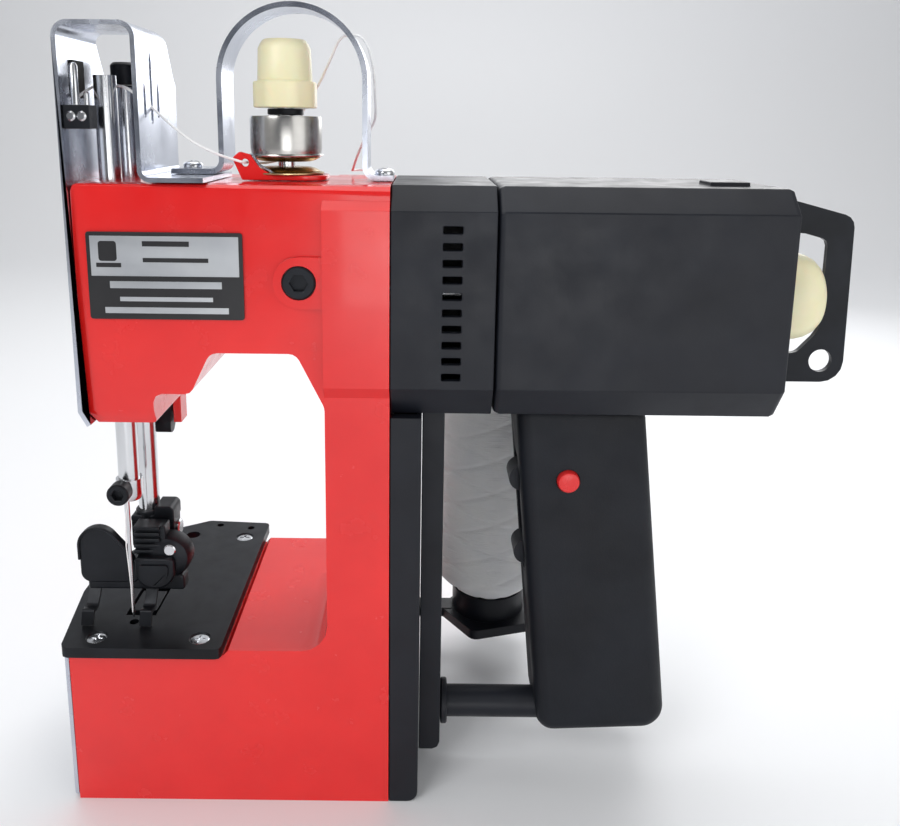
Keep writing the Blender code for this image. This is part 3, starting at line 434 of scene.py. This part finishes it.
def make_screws(m):
    for i in (1, 2, 3):
        node = f"plate_screw_{i}"
        cross_screw(f"{node}_head", "z", box_middle(node, "xy"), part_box(node)[1].z / MM,
                    3.55, 0.35, m["steel"], [node])
    for side in ("left", "right"):
        node = f"arch_screw_{side}"
        cross_screw(f"{node}_head", "z", box_middle(node, "xy"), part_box(node)[1].z / MM - 1.5,
                    3.4, 1.6, m["steel"], [node])
    for name, node, depth, radius, body in (
            ("boss_socket_screw", "boss_screw", 3.4, 5.5, FRAME_BODY),
            ("needle_clamp_socket", "needle_clamp_screw", 4.6, 4.0, "needle_bar")):
        hex_screw(name, "y", box_middle(node, "xz"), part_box(node)[0].y / MM, depth, radius,
                  m["oxide"], body, [node], 1)
    centre = box_middle("side_cover_screw", "yz")
    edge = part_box("side_cover_screw")[0].x / MM
    lathe("side_cover_screw_head", [(0, edge), (2.6, edge + 0.2), (3.9, edge + 1.0),
                                    (4.1, edge + 1.9), (0, edge + 1.9)],
          "x", centre, m["steel"], FRAME_BODY, ["side_cover_screw"], 48)


def make_name_plate(m):
    """A plain two-tone plate: a black field with a silver panel and generic bars."""
    lo, hi = (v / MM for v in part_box("name_plate"))
    x0, x1, z0, z1 = lo.x, hi.x, lo.z, hi.z
    back, face = hi.y, lo.y
    extruded("name_plate_field", arcs((x0, z0, 1), (x1, z0, 1), (x1, z1, 1), (x0, z1, 1)), "y",
             face + 0.1, back, m["ink"], FRAME_BODY, ["name_plate"], 0.1, 2)
    split = z0 + (z1 - z0) * 0.5
    extruded("name_plate_panel", [(x0 + 1.3, split), (x1 - 1.3, split), (x1 - 1.3, z1 - 1.3),
                                  (x0 + 1.3, z1 - 1.3)], "y", face, face + 0.2, m["silver"],
             FRAME_BODY, (), 0.03, 1)
    bm = bmesh.new()
    width = x1 - x0
    for x, z, w, h in ((0.36, 0.84, 0.30, 0.06), (0.36, 0.66, 0.42, 0.05), (0.06, 0.60, 0.16, 0.05)):
        left, low = x0 + width * x, z0 + (z1 - z0) * z
        block(bm, [(left, low), (left + width * w, low), (left + width * w, low + (z1 - z0) * h),
                   (left, low + (z1 - z0) * h)], "y", face - 0.05, face + 0.05)
    block(bm, arcs((x0 + 4, split + 5, 1), (x0 + 10, split + 5, 1), (x0 + 10, z1 - 3, 1),
                   (x0 + 4, z1 - 3, 1)), "y", face - 0.05, face + 0.05)
    piece("name_plate_dark_bars", bm, m["ink"], FRAME_BODY)
    bm = bmesh.new()
    for z, h, w in ((0.36, 0.08, 0.72), (0.21, 0.05, 0.60), (0.07, 0.07, 0.80)):
        low = z0 + (z1 - z0) * z
        inset = width * (1 - w) / 2
        block(bm, [(x0 + inset, low), (x1 - inset, low), (x1 - inset, low + (z1 - z0) * h),
                   (x0 + inset, low + (z1 - z0) * h)], "y", face + 0.02, face + 0.12)
    piece("name_plate_light_bars", bm, m["silver"], FRAME_BODY)


def make_foot(m):
    """The presser foot: left flap, ridged block, shield, side hub and two bent toes."""
    body, slot = "presser_foot", "black_steel"
    flap = arcs((-140.8, 78.5, 4), (-140.8, 98, 7), (-131.5, 102.8, 7), (-120.6, 89, 3),
                (-118.4, 78.5, 2), step=12)
    extruded("foot_flap", flap, "y", -41.3, -38.4, m["oxide"], body, ["presser_foot"], 0.7, 3)
    rim = arcs((-141.3, 88), (-141.3, 98.3, 7.5), (-131.5, 103.4, 7.5), (-121.5, 91.5), closed=False,
               step=8)
    extruded("foot_flap_rim", ribbon(rim, 1.0), "y", -41.9, -38.6, m["oxide"], body, (), 0.3)
    shield = arcs((-119.2, 77.6, 7), (-104.2, 77.6, 7), (-104.2, 90, 2), (-119.2, 90, 1), step=9)
    extruded("foot_shield", shield, "y", -44.2, -36.5, m["oxide"], body, (), 1.4, 4)
    inner = arcs((-117, 79.6, 5.5), (-106.4, 79.6, 5.5), (-106.4, 87.6, 1), (-117, 87.6, 1), step=9)
    extruded("foot_shield_face", inner, "y", -44.9, -43.4, m["oxide"], body, (), 0.5)
    bm = bmesh.new()
    lowest, pitch, ridges, front, back = 90.4, 2.35, 5, -41.3, -34
    for k in range(ridges):
        z = lowest + k * pitch
        crest = z + pitch * 0.72
        block(bm, arcs((front, z, 0.7), (front, crest, 0.7), (back, crest), (back, z), step=22),
              "x", -119.9, -110.0)
    ease(piece("foot_ridges", bm, m["oxide"], body), 0.2, 2)
    extruded("foot_block", [(-119.3, 84), (-108, 84), (-108, 101.4), (-119.3, 101.4)], "y", -40.2,
             -33.8, m["oxide"], body, (), 0.6)
    lathe("foot_hub", [(0, -41.4), (5.5, -41.4), (7.6, -40.4), (8.6, -38.5), (8.6, -34), (7.4, -32.6),
                       (0, -32.6)], "y", (-107.6, 88.6), m["oxide"], body, (), 56)
    lathe("foot_hub_pin", [(0, -42.2), (1.9, -42.2), (2.3, -41.8), (2.3, -40), (0, -40)], "y",
          (-106.2, 92.4), m["steel"], body, (), 32)
    toe = arcs((-50.2, 66.0), (-48.4, 71.4, 1.0), (-44.5, 70.6, 2), (-41.6, 74, 3), (-37, 80.5, 2),
               (-33, 81), closed=False)
    for name, x in (("foot_toe_left", -138.2), ("foot_toe_right", -116.4)):
        extruded(name, ribbon(toe, 1.4), "x", x, x + 4.4, m["oxide"], body, (), 0.3)
    extruded("foot_web", arcs((-138.4, 75.5), (-101.5, 75.5), (-101.5, 82, 2), (-138.4, 82, 2)), "y",
             -40.9, -34.5, m["oxide"], body, (), 0.9)
    lug = arcs((-36, 84, 1), (-24, 88.4, 2), (-21.9, 93, 3), (-26.5, 97.6, 3.5), (-31, 96, 2),
               (-36, 92, 1))
    extruded("foot_lug", lug, "x", -120.9, -115.1, m["oxide"], body, (), 0.4)


def make_presser_bar(m):
    """The bright bar, and the dark forked block at its foot that holds the hinge."""
    x, y = bar_centre("presser_bar", 150)
    lathe("presser_rod", [(0, 99), (3.3, 99), (4, 99.7), (4, 167.9), (5.5, 168), (5.5, 173), (4, 173.1),
                          (4, 263.4), (3.4, 264), (0, 264)], "z", (x, y), m["steel"], "presser_bar",
          ["presser_bar"], 64)
    lathe("presser_rod_nut", [(4.02, 100.4), (5.2, 100.4), (5.2, 102.6), (4.9, 103), (4.02, 103)], "z",
          (x, y), m["oxide"], "presser_bar", (), 48)
    body, slot = "presser_bar", "black_steel"
    extruded("fork_bridge", arcs((-124, 98.8, 1), (-107.2, 98.8, 1), (-107.2, 105.2, 2.2),
                                 (-114.4, 105.2, 0.5), (-115, 101.5, 0.5), (-124, 101.5, 1)),
             "y", -31.5, -21.5, m["oxide"], body, (), 0.6)
    extruded("fork_cheek_left", arcs((-124, 88, 1), (-121.5, 88, 0.5), (-121.5, 99.6), (-124, 99.6)),
             "y", -31, -22, m["oxide"], body, (), 0.4)
    extruded("fork_cheek_right", arcs((-114.6, 88, 0.5), (-107.6, 90, 2.5), (-107.4, 99.6),
                                      (-114.6, 99.6)),
             "y", -31, -22, m["oxide"], body, (), 0.6)
    lathe("fork_pin_head", [(0, -107.7), (3.2, -107.7), (3.2, -106.4), (2.7, -105.9), (0, -105.9)], "x",
          (-26.5, 94.6), m["steel"], body, (), 40)


def make_presser_spring(m):
    """The presser bar's spring, a fixed coil on the frame; on the machine it shortens as the bar's
    collar rises.
    """
    lo, hi = (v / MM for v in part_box("presser_spring"))
    x, y, length = (lo.x + hi.x) / 2, (lo.y + hi.y) / 2, hi.z - lo.z
    wire_r, coils, steps, sides = 0.5, 8, 28, 10
    coil_r, pitch = (hi.x - lo.x) / 2 - wire_r, (length - 2 * wire_r) / coils
    bm = bmesh.new()
    rings = []
    for k in range(coils * steps + 1):
        t = 2 * math.pi * k / steps
        out = Vector((math.cos(t), math.sin(t), 0))
        middle = Vector((x, y, lo.z + wire_r + pitch * k / steps)) + out * coil_r
        rings.append([bm.verts.new((middle + out * wire_r * math.cos(a)
                                    + Vector((0, 0, wire_r * math.sin(a)))) * MM)
                      for a in (2 * math.pi * s / sides for s in range(sides))])
    for first, second in zip(rings, rings[1:]):
        for s in range(sides):
            n = (s + 1) % sides
            bm.faces.new((first[s], first[n], second[n], second[s]))
    bm.faces.new(rings[0])
    bm.faces.new(rings[-1])
    spring = piece("bar_spring", bm, m["steel"], FRAME_BODY, ["presser_spring"])
    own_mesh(spring)


def bar_centre(node, height):
    """Centre of an upright bar, from its node's vertices above a height."""
    high = [v.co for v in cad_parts[node].data.vertices if v.co.z > height * MM]
    xs, ys = [c.x for c in high], [c.y for c in high]
    return (min(xs) + max(xs)) / 2 / MM, (min(ys) + max(ys)) / 2 / MM


# ---------------------------------------------------------------- top of the head

def make_guard(m):
    """The bright face guard: an arch of sheet steel with three slots and a cut back corner."""
    lo, hi = (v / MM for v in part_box("needle_guard"))
    left, right, low, top = lo.x, GUARD_RIGHT_X, lo.z, hi.z
    path = arcs((left + 2.8, low + 0.9), (left, low + 6.0, 1.2), (left, top, 5.2),
                (right, top, 5.2), (right, GUARD_FOOT_Z, 2.4), (hi.x, GUARD_FOOT_Z),
                closed=False, step=6)
    bm = bmesh.new()
    block(bm, ribbon(path, 1.5), "y", lo.y, hi.y)
    obj = piece("face_guard", bm, m["sheet"], FRAME_BODY, ["needle_guard"])
    slots = ((-55.5, 252.8, 265), (-48.5, 250.8, 275), (-41.5, 252.8, 265))
    tools = [hollow(obj, pointed_slot(y, z0, z1, 2.3), "x", right - 4, right + 4, f"slot_{i}")
             for i, (y, z0, z1) in enumerate(slots)]
    corner = [(-37, top + 4.3), (hi.y + 4, top + 4.3), (hi.y + 4, top - 22), (hi.y - 2.2, top - 15.7),
              (-30.4, top - 2.3)]
    tools.append(hollow(obj, corner, "x", left - 4, right + 4, "corner", "MANIFOLD"))
    settle(obj, *tools)
    ease(obj, 0.25, 2, 40)
    lo, hi = (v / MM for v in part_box("thread_guide_block"))
    for i, x in enumerate((lo.x + 2.4, hi.x - 2.4)):
        lathe(f"guide_screw_{i}", [(0, lo.y - 0.7), (1.1, lo.y - 0.7), (1.6, lo.y - 0.2),
                                   (1.6, lo.y + 0.5), (0, lo.y + 0.5)],
              "y", (x, 253), m["steel"], FRAME_BODY, (), 32)
    lathe("guide_pin", [(0, 255), (1.3, 255), (1.3, 268.6), (0.8, 269.6), (0, 269.8)], "z",
          (-123.5, -58.4), m["steel"], FRAME_BODY, (), 32)
    lathe("guide_post", [(0, 255), (0.9, 255), (0.9, 260.2), (0.5, 260.8), (0, 260.8)], "z",
          (-120.4, -57), m["steel"], FRAME_BODY, (), 24)
    patch = arcs((-53, 259, 0.6), (-43.5, 259, 0.6), (-43.5, 271, 0.6), (-53, 271, 0.6))
    extruded("guard_patch", patch, "x", -126.75, -125.9, m["rubber"], FRAME_BODY,
             (), 0.15)


def make_arch(m):
    """The lifting arch: one strip with a foot each side and a hole for the thread."""
    lo, hi = (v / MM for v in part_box("lift_arch"))
    (left, right), (z0, z1), top = ARCH_LEGS_X, ARCH_FEET_Z, hi.z
    radius = (right - left) / 2 - 0.02
    path = arcs((lo.x, z0), (left, z0, 3), (left, top, radius), (right, top, radius),
                (right, z1, 3), (hi.x, z1), closed=False, step=4)
    bm = bmesh.new()
    block(bm, ribbon(path, 1.8), "y", lo.y, hi.y)
    obj = piece("lifting_arch", bm, m["sheet"], FRAME_BODY, ["lift_arch"])
    settle(obj, hollow(obj, circle(*THREAD_EYE, 2), "x", -46, -28, "thread_eye"))
    ease(obj, 0.35, 3, 40)


def make_tension(m):
    """Bracket with its tongue, two dished discs, the spring cup, nut and knob."""
    centre = TENSION
    front, rear = -45.0, -24.0
    seat = arcs((-73.5, front, 1), (-45, front, 8), (-45, rear, 8), (-70, rear, 6), step=6)
    bm = bmesh.new()
    block(bm, seat, "z", 232.3, 234)
    bracket = piece("tension_base", bm, m["red"], FRAME_BODY, ["tension_bracket"])
    ease(bracket, 0.4, 3)
    tab = arcs((-73.6, 232.4), (-62, 232.4), (-63.8, 234.6, 2.5), (-67.4, 236.4, 3), (-70.6, 241, 1.2),
               (-74.2, 242, 1.4), (-76.8, 239.8, 1.4), step=8)
    bm = bmesh.new()
    block(bm, tab, "y", front - 0.1, front + 1.4)
    tongue = piece("tension_tongue", bm, m["red"], FRAME_BODY)
    settle(tongue, hollow(tongue, circle(*EYELET, 1.3), "y", front - 3, front + 4, "eyelet"))
    ease(tongue, 0.3, 3)
    edge = arcs((-62.4, 233.9), (-64.2, 235.2, 2.5), (-67.9, 237.2, 3), (-70.4, 241.2), closed=False,
                step=8)
    extruded("tongue_edge", ribbon(edge, 0.7), "y", front + 0.15, front + 1.15, m["sheet"], FRAME_BODY,
             (), 0.15, 2)
    lathe("tension_washer", [(3.4, 234.05), (12.6, 234.05), (13.2, 234.3), (13.2, 234.7), (12.4, 234.9),
                             (3.4, 234.9)], "z", centre, m["bronze"], FRAME_BODY,
          ["tension_discs"], 80)
    for name, z, flip in (("tension_disc_low", 236.0, 1), ("tension_disc_top", 239.0, -1)):
        lathe(name, [(3.4, z), (8.6, z), (10.2, z - flip * 0.3), (11.6, z - flip * 1.0),
                     (11.9, z - flip * 0.8), (10.4, z), (8.6, z + flip * 0.5),
                     (3.4, z + flip * 0.5)],
              "z", centre, m["bronze"], FRAME_BODY, ())
    lathe("spring_cup", [(3.4, 240.3), (12.9, 240.3), (13, 240.6), (12.9, 241), (12.2, 241.2),
                         (12.3, 241.8), (12.5, 243), (12.5, 252.8), (12.3, 253.9), (11.7, 254),
                         (11.2, 253.6), (11.1, 252.6), (3.4, 252.6)],
          "z", centre, m["turned"], FRAME_BODY, ["tension_cup"], 96)
    coil_r, coil_z, rise, per_turn, points = 6.2, 252.9, 0.09, 24, 38
    turns = [2 * math.pi * k / per_turn for k in range(points)]
    coil = [(centre[0] + coil_r * math.cos(t), centre[1] + coil_r * math.sin(t), coil_z + t * rise)
            for t in turns]
    wire("tension_spring", coil, 0.45, m["steel"])
    lathe("tension_nut", [(3.05, 254.4), (6.0, 254.4), (6.3, 254.7), (6.3, 256.2), (6.0, 256.5),
                          (3.05, 256.5)], "z", centre, m["oxide"], FRAME_BODY, (), 48)

    def flats(t, r, h):
        """Eight shallow flats round the knob's skirt."""
        return r * (1 - 0.02 * (1 + math.cos(8 * t))) if r > 10.4 else r

    profile = [(0, 270.2), (3.3, 270.2), (3.3, 256.8), (10.9, 256.8), (11.2, 257.2), (11.2, 265.1),
               (10.9, 265.6), (9.75, 265.7), (9.5, 266.1), (9.1, 276.6), (8.5, 278.0), (7.5, 279.4),
               (7.0, 279.7), (0, 279.7)]
    lathe("knurled_knob", profile, "z", centre, m["cream"], "tension_knob",
          ["tension_knob"], 96, flats, 24)


def wire(name, route, radius, mat, body=FRAME_BODY):
    """A round wire along a route, as a curve with filled ends."""
    curve = bpy.data.curves.new(name, "CURVE")
    curve.dimensions = "3D"
    curve.bevel_depth = radius * MM
    curve.bevel_resolution = 3
    curve.use_fill_caps = True
    line = curve.splines.new("POLY")
    line.points.add(len(route) - 1)
    for point, co in zip(line.points, route):
        point.co = (*(c * MM for c in co), 1)
    curve.materials.append(mat)
    obj = bpy.data.objects.new(name, curve)
    bpy.context.collection.objects.link(obj)
    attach(obj, body)
    return obj


# ---------------------------------------------------------------- right side

def make_handwheel(m):
    """The domed nylon wheel on the motor's shaft."""
    lo, hi = (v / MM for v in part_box("handwheel"))
    radius, length = (hi.z - lo.z) / 2, hi.x - lo.x
    shape = ((0.2, 0), (0.62, 0), (0.66, 0.04), (0.86, 0.05), (0.93, 0.0), (0.98, 0.03), (1, 0.1),
             (1, 0.42), (0.985, 0.56), (0.94, 0.70), (0.86, 0.82), (0.74, 0.91), (0.58, 0.97),
             (0.4, 0.995), (0.2, 1))
    profile = [(radius * r, lo.x + length * h) for r, h in shape]
    lathe("nylon_handwheel", profile, "x", box_middle("handwheel", "yz"), m["cream"],
          "motor_rotor", ["handwheel"], 96, None, 40)


def make_grip(m):
    """The pistol grip: a tapering body with broad rounded edges and its red button."""
    bm = bmesh.new()
    outline = arcs((GRIP_TOP_X[0], GRIP_TOP_Z), (*GRIP_TOE, 7), (*GRIP_HEEL, 9),
                   (GRIP_TOP_X[1], GRIP_TOP_Z), step=8)
    block(bm, outline, "y", *GRIP_Y)
    obj = piece("pistol_grip", bm, m["grip"], FRAME_BODY, ["grip"])
    pocket = [(15, 81), (42.5, 81), (42.5, 129), (15, 129)]
    tools = [hollow(obj, pocket, "y", *TRIGGER_POCKET_Y, "pocket")]
    ease(obj, 5.5, 6, 60)
    obj.modifiers.move(1, 0)             # the edges are rounded before the pocket is cut
    tools.append(hollow(obj, circle(*BUTTON, BUTTON_R + 0.3, 40), "y", -50, -37, "button_hole"))
    settle(obj, *tools)
    lathe("button_cap", [(0, -47.6), (2.6, -47.6), (3.7, -47.2), (BUTTON_R, -46.4),
                         (BUTTON_R, -40.5), (0, -40.5)], "y", BUTTON, m["button"],
          "lock_button", ["lock_button"], 48)
    x0, x1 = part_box("brace_rod")[0].x / MM, 44
    lathe("brace_tube", [(0, x0), (8, x0), (8.5, x0 + 0.5), (8.5, x0 + 2), (8, x0 + 2.5),
                         (6, x0 + 2.5), (6, x1), (0, x1)], "x", box_middle("brace_rod", "yz"),
          m["black"], FRAME_BODY, ["brace_rod"], 56)


# ---------------------------------------------------------------- spool

def make_spool(m):
    """The wound thread: crossing diagonal lays over the package's turned profile."""
    lo, hi = (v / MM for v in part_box("thread_spool"))
    z0, z1 = lo.z, hi.z
    radius, foot_r, bore_r = (hi.x - lo.x) / 2, 16, 7
    foot_h, lip, rows = 14, 3, 150
    starts, lean, skin, groove = 4, 0.42, 0.14, 0.75

    def outer(z):
        up = z - z0
        if up < foot_h:
            return foot_r + (radius - foot_r) * math.sin(math.pi / 2 * up / foot_h)
        return radius - lip * max(0.0, (z - (z1 - lip)) / lip) ** 2

    side = [(outer(z0 + (z1 - z0) * k / rows), z0 + (z1 - z0) * k / rows) for k in range(rows + 1)]
    profile = [(bore_r, z0)] + side + [(bore_r, z1)]

    def lay(t, r, h):
        """Narrow grooves between lays that lean both ways round the package."""
        if r <= bore_r:
            return r
        first = math.sin(starts * t + h * lean)
        second = math.sin(-starts * t + h * lean)
        return r - skin - groove * max(first, second) ** 14

    lathe("wound_thread", profile, "z", box_middle("thread_spool", "xy"), m["thread"],
          "thread_spool", ["thread_spool"], 192, lay, 60)


def make_needle_thread(m):
    """The length of thread that runs down beside the needle to its eye."""
    route = [(-117.4, -50.6, 118), (-118.6, -51.2, 110), (-119.5, -49.8, 98), (-119.6, -48.1, 87),
             (-119.5, -47.6, 81), (-119.5, -47.5, 75), (-119.5, -47.5, 70)]
    wire("needle_thread", route, 0.22, m["thread"], "needle_bar")


# ---------------------------------------------------------------- stage

def make_stage():
    """A plain pale floor that bends up into a wall behind the machine."""
    floor_mat, _, _ = shader_of("pale_floor", (0.86, 0.87, 0.89), 0.5)
    bm = bmesh.new()
    wide, deep, high, bend = 3.0, 1.2, 3.0, 0.6
    steps = 12
    angles = [math.pi / 2 * k / steps for k in range(steps + 1)]
    curve = [(deep + bend * math.sin(a), bend - bend * math.cos(a)) for a in angles]
    line = [(-2.0, 0.0)] + curve + [(deep + bend, high)]
    rows = [[bm.verts.new((x, y, z)) for y, z in line] for x in (-wide, wide)]
    for k in range(len(line) - 1):
        bm.faces.new((rows[0][k], rows[1][k], rows[1][k + 1], rows[0][k + 1]))
    mesh = bpy.data.meshes.new("studio_floor")
    bm.to_mesh(mesh)
    bm.free()
    mesh.shade_smooth()
    mesh.materials.append(floor_mat)
    floor = bpy.data.objects.new("studio_floor", mesh)
    bpy.context.collection.objects.link(floor)


def make_light(name, spot, target, size, power):
    data = bpy.data.lights.new(name, "AREA")
    data.shape = "RECTANGLE"
    data.size, data.size_y = size
    data.energy = power
    obj = bpy.data.objects.new(name, data)
    obj.location = spot
    obj.rotation_euler = (Vector(target) - Vector(spot)).to_track_quat("-Z", "Y").to_euler()
    bpy.context.collection.objects.link(obj)


def make_world():
    """Surroundings that are bright above and to both sides, and dark in front and behind."""
    world = bpy.data.worlds.new("studio")
    bpy.context.scene.world = world
    world.use_nodes = True
    tree = world.node_tree
    backdrop = tree.nodes["Background"]
    backdrop.inputs["Strength"].default_value = 0.42
    where = tree.nodes.new("ShaderNodeTexCoord")
    parts = tree.nodes.new("ShaderNodeSeparateXYZ")
    tree.links.new(where.outputs["Generated"], parts.inputs["Vector"])
    side = tree.nodes.new("ShaderNodeMath")
    side.operation = "ABSOLUTE"
    tree.links.new(parts.outputs["X"], side.inputs[0])
    most = tree.nodes.new("ShaderNodeMath")
    most.operation = "MAXIMUM"
    tree.links.new(side.outputs["Value"], most.inputs[0])
    tree.links.new(parts.outputs["Z"], most.inputs[1])
    tree.links.new(ramp(tree, most.outputs["Value"], (0.24, 0.26, 0.30), (1.0, 1.0, 1.0), 0.30, 0.62),
                   backdrop.inputs["Color"])
    bpy.context.scene.view_settings.view_transform = "Standard"


def make_lights():
    aim = (0, 0, 0.15)
    make_light("key", (-0.55, -0.75, 0.75), aim, (0.5, 0.5), 3.8)
    make_light("fill", (0.7, -0.65, 0.3), aim, (0.7, 0.8), 2.2)
    make_light("low", (0.12, -0.95, 0.12), (0.03, 0, 0.09), (0.5, 0.3), 1.5)
    make_light("top", (0.0, 0.15, 0.95), aim, (0.9, 0.6), 3.6)
    make_light("rim", (0.3, 0.8, 0.5), aim, (0.6, 0.5), 2.4)
    make_light("wall", (0.0, 0.5, 1.6), (0, 1.8, 0.6), (1.5, 0.5), 12)


def make_camera():
    """A short lens close in front, a little above the machine, looking slightly down."""
    place_mm, down, tilt = (-10.5, -338.5, 250.8), 11.5, 0.65
    data = bpy.data.cameras.new("camera")
    data.sensor_width = 36
    data.lens = 34
    data.shift_x = 0.028
    data.shift_y = -0.1256
    data.clip_start = 0.01
    cam = bpy.data.objects.new("camera", data)
    pitch, roll = math.radians(90 - down), math.radians(tilt)
    turned = Matrix.Rotation(pitch, 4, "X") @ Matrix.Rotation(roll, 4, "Z")
    cam.matrix_world = Matrix.Translation(Vector(place_mm) * MM) @ turned
    bpy.context.collection.objects.link(cam)
    bpy.context.scene.camera = cam


def main():
    make_camera()
    m = make_materials()
    finish_cad(m)
    make_screws(m)
    make_name_plate(m)
    make_foot(m)
    make_presser_bar(m)
    make_presser_spring(m)
    make_guard(m)
    make_arch(m)
    make_tension(m)
    make_handwheel(m)
    make_grip(m)
    make_spool(m)
    make_needle_thread(m)
    make_stage()
    make_world()
    make_lights()


main()
